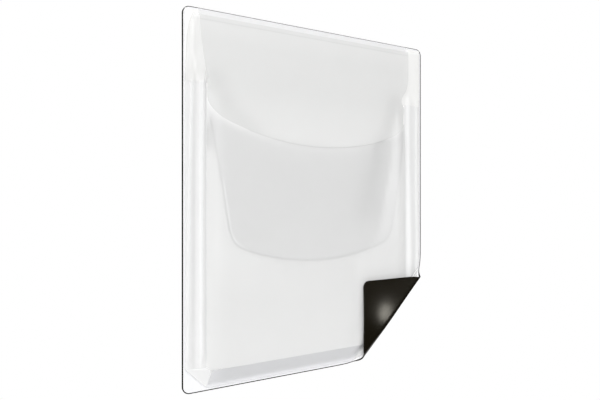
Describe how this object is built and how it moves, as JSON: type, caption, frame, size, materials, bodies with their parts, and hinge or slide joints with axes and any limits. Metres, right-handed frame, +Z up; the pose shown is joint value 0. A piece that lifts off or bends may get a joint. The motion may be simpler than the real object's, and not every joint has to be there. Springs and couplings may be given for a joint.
{
  "type": "magnetic document pocket",
  "caption": "Upright magnetic sheet with a white face carrying a frosted film wallet with a tucked flap, bellows sides and a turned-up corner, for holding papers on a steel surface.",
  "frame": {"origin": "centre of the magnet sheet's flat back", "axes": "+Z up the sheet, +Y out of the magnet's back into the steel surface, so the wallet faces -Y; +X to the right seen from the front"},
  "size_m": [0.2563, 0.01, 0.3203],
  "materials": {
    "magnet_rubber": "satin black ferrite rubber",
    "white_vinyl": "smooth white vinyl laminate",
    "tape": "double-sided adhesive tape",
    "frosted_film": "translucent frosted polypropylene film"
  },
  "bodies": {
    "root": {"magnet_sheet": "magnet_rubber", "face_film": "white_vinyl", "tape_top": "tape", "tape_bottom": "tape", "tape_left": "tape", "tape_right": "tape", "pocket_back": "frosted_film", "front_panel": "frosted_film", "corner_slope": "frosted_film", "left_gusset_lower": "frosted_film", "left_gusset_upper": "frosted_film", "right_gusset_lower": "frosted_film", "right_gusset_upper": "frosted_film", "left_wing": "frosted_film", "right_wing": "frosted_film", "bottom_gusset": "frosted_film", "corner_tuck": "frosted_film"},
    "spine": {"top_spine": "frosted_film"},
    "flap": {"flap_panel": "frosted_film", "flap_tongue": "frosted_film"},
    "lip": {"front_lip": "frosted_film"},
    "bend_1": {"magnet_bend_1": "magnet_rubber", "face_bend_1": "white_vinyl", "film_bend_1": "frosted_film"},
    "bend_2": {"magnet_bend_2": "magnet_rubber", "face_bend_2": "white_vinyl", "film_bend_2": "frosted_film"},
    "bend_3": {"magnet_bend_3": "magnet_rubber", "face_bend_3": "white_vinyl", "film_bend_3": "frosted_film"},
    "corner": {"magnet_corner": "magnet_rubber", "face_corner": "white_vinyl", "back_corner": "frosted_film", "front_corner": "frosted_film"}
  },
  "joints": [
    {"name": "flap_hinge", "type": "hinge", "parent": "root", "child": "spine", "pos_m": [0, -0.00195, 0.158], "axis": [-1, 0, 0], "range_deg": [0, 130]},
    {"name": "flap_crease", "type": "hinge", "parent": "spine", "child": "flap", "pos_m": [0, -0.00632, 0.1526], "axis": [-1, 0, 0], "range_deg": [0, 41], "deforming": ["flap_tongue"]},
    {"name": "mouth_flex", "type": "hinge", "parent": "root", "child": "lip", "pos_m": [0, -0.00698, -0.04], "axis": [1, 0, 0], "range_deg": [0, 8], "stiffness_Nm_per_rad": 0.06, "deforming": ["left_gusset_upper", "right_gusset_upper"]},
    {"name": "corner_curl_1", "type": "hinge", "parent": "root", "child": "bend_1", "pos_m": [0.08367, -0.0006, -0.11567], "axis": [0.7071, 0, 0.7071], "range_deg": [0, 45], "deforming": ["magnet_bend_1", "face_bend_1", "film_bend_1"]},
    {"name": "corner_curl_2", "type": "hinge", "parent": "bend_1", "child": "bend_2", "pos_m": [0.0855, -0.00319, -0.1175], "axis": [0.7071, 0, 0.7071], "range_deg": [0, 45], "deforming": ["magnet_bend_2", "face_bend_2", "film_bend_2"]},
    {"name": "corner_curl_3", "type": "hinge", "parent": "bend_2", "child": "bend_3", "pos_m": [0.0855, -0.00686, -0.1175], "axis": [0.7071, 0, 0.7071], "range_deg": [0, 45], "deforming": ["magnet_bend_3", "face_bend_3", "film_bend_3"]},
    {"name": "corner_peel", "type": "hinge", "parent": "bend_3", "child": "corner", "pos_m": [0.08367, -0.00945, -0.11567], "axis": [0.7071, 0, 0.7071], "range_deg": [0, 45]}
  ],
  "couplings": [
    {"joint": "flap_crease", "follows": "flap_hinge", "ratio": 0.308},
    {"joint": "corner_curl_1", "follows": "corner_peel", "ratio": 1},
    {"joint": "corner_curl_2", "follows": "corner_peel", "ratio": 1},
    {"joint": "corner_curl_3", "follows": "corner_peel", "ratio": 1}
  ]
}
